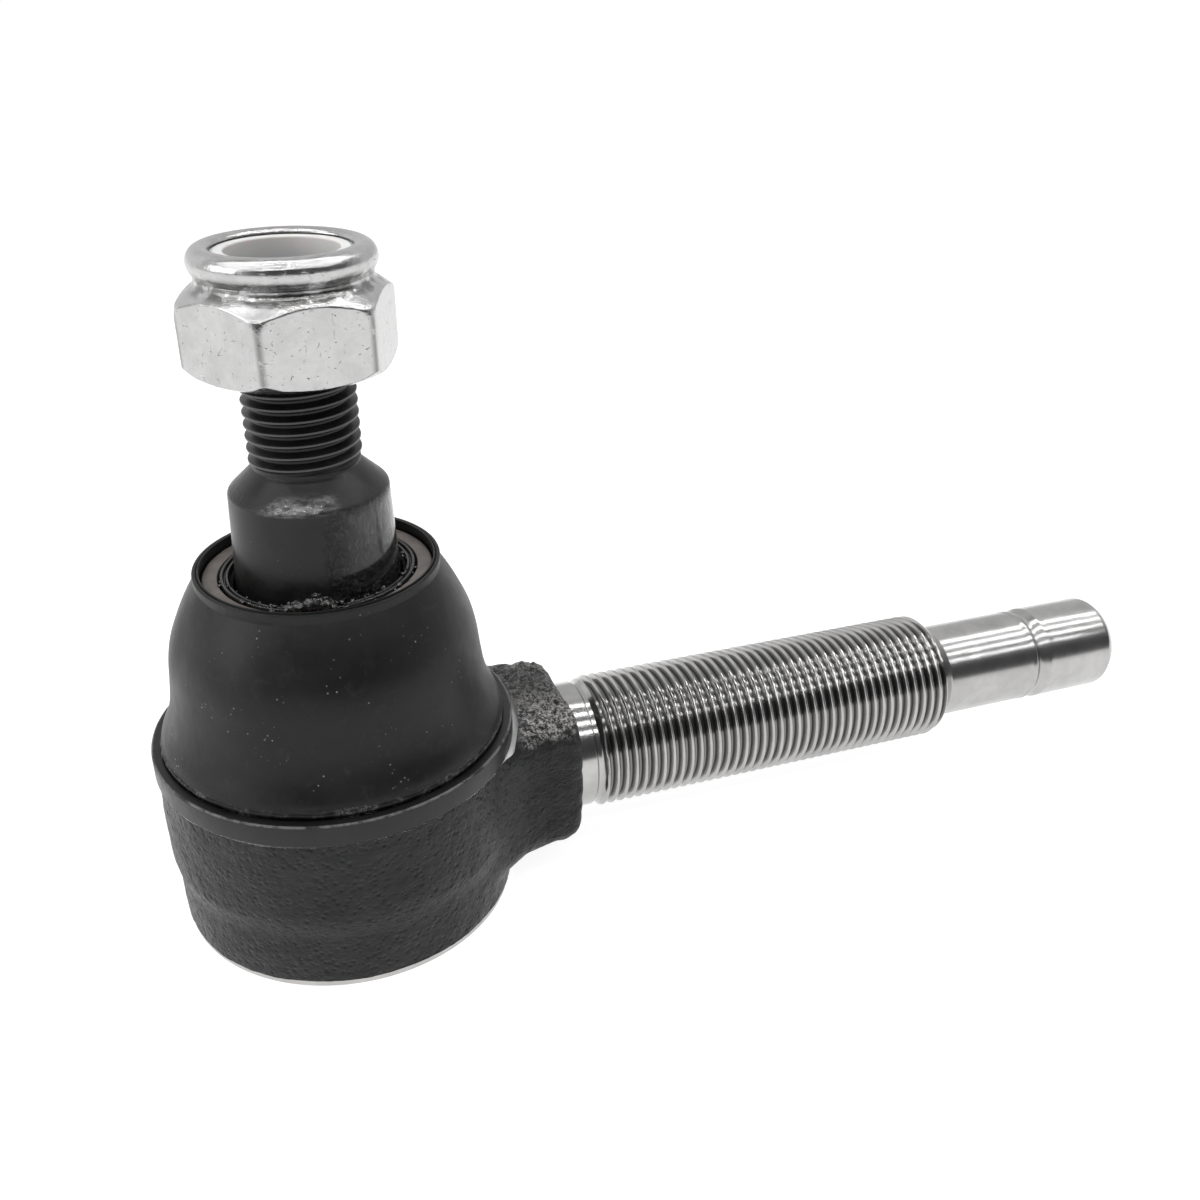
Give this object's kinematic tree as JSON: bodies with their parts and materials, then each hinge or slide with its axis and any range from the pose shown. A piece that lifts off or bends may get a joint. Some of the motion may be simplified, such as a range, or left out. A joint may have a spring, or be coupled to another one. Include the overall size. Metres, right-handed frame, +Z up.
{
  "type": "tie rod end",
  "caption": "Steering ball joint: socket with dust boot and taper stud with a self-locking nut, on a long shank with an external thread.",
  "frame": {"origin": "centre of the closing plate's outer face, on the stud's axis", "axes": "+Z up the ball stud towards its thread, +X out along the threaded shank"},
  "size_m": [0.1556, 0.049, 0.0921],
  "materials": {
    "housing_paint": "satin black paint on a rough forged skin",
    "shank_steel": "bright turned and thread-rolled steel",
    "plate_zinc": "bright pressed steel",
    "spring_steel": "oiled dark steel",
    "stud_steel": "black phosphated steel, lightly oiled",
    "ring_steel": "smooth satin black",
    "dusty_ring": "taupe phosphate, dusty",
    "boot_rubber": "satin black moulded rubber",
    "seal_rubber": "smooth black",
    "acetal": "natural acetal",
    "nut_zinc": "bright zinc plate",
    "nylon": "natural white nylon",
    "grease": "wet dark grease"
  },
  "bodies": {
    "housing": {"housing": "housing_paint", "end_plate": "plate_zinc", "plate_seal": "seal_rubber", "disc_spring": "spring_steel", "pressure_ring": "spring_steel", "upper_bearing": "acetal", "boot_base_ring": "ring_steel", "boot": "boot_rubber"},
    "lower_seat": {"lower_bearing": "acetal"},
    "boot_crown": {"boot_slide_ring": "seal_rubber", "boot_top_ring": "dusty_ring"},
    "stud": {"ball_stud": "stud_steel"},
    "nut_carrier": {"nut_insert": "nylon"},
    "nut": {"lock_nut": "nut_zinc"}
  },
  "joints": [
    {"name": "tilt_direction", "type": "hinge", "parent": "housing", "child": "lower_seat", "pos_m": [0, 0, 0.0175], "axis": [0, 0, 1], "continuous": true},
    {"name": "stud_tilt", "type": "hinge", "parent": "lower_seat", "child": "boot_crown", "pos_m": [0, 0, 0.0175], "axis": [0, 1, 0], "range_deg": [-22, 22], "deforming": ["boot"]},
    {"name": "stud_spin", "type": "hinge", "parent": "boot_crown", "child": "stud", "pos_m": [0, 0, 0.0175], "axis": [0, 0, 1], "continuous": true},
    {"name": "nut_travel", "type": "slide", "parent": "stud", "child": "nut_carrier", "axis": [0, 0, 1], "range_m": [-0.0105, 0.0075]},
    {"name": "nut_turn", "type": "hinge", "parent": "nut_carrier", "child": "nut", "pos_m": [0, 0, 0.0844], "axis": [0, 0, 1], "range_deg": [-2520, 1800]}
  ],
  "couplings": [
    {"joint": "nut_turn", "follows": "nut_travel", "rad_per_m": 4188.8}
  ]
}
